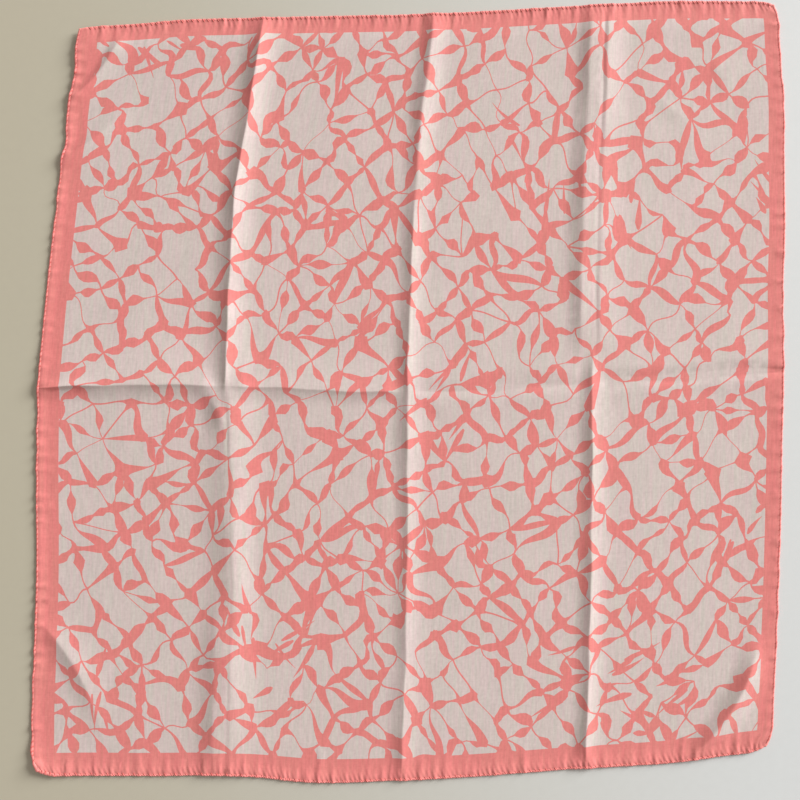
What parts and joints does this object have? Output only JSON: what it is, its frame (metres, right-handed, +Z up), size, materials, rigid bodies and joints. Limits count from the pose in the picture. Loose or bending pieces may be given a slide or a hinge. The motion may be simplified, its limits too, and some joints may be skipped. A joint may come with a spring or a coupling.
{
  "type": "square headscarf",
  "caption": "Thin woven square headscarf with a printed field, a plain printed border and a rolled, whip-stitched hem, opened out flat with the creases of its folding.",
  "frame": {"origin": "middle of the scarf's outline, on the surface that it lies on", "axes": "+Z up, away from that surface; +Y towards the gathered top edge; +X towards the right edge"},
  "size_m": [0.5547, 0.5752, 0.0069],
  "materials": {
    "printed_cloth": "matt thin plain-woven voile, warm off-white with a coral print",
    "hem_cloth": "matt coral cloth, rolled and whip-stitched"
  },
  "bodies": {
    "root": {"panel": "printed_cloth", "hem_top": "hem_cloth", "hem_right": "hem_cloth", "hem_bottom": "hem_cloth", "hem_left": "hem_cloth"}
  },
  "joints": []
}
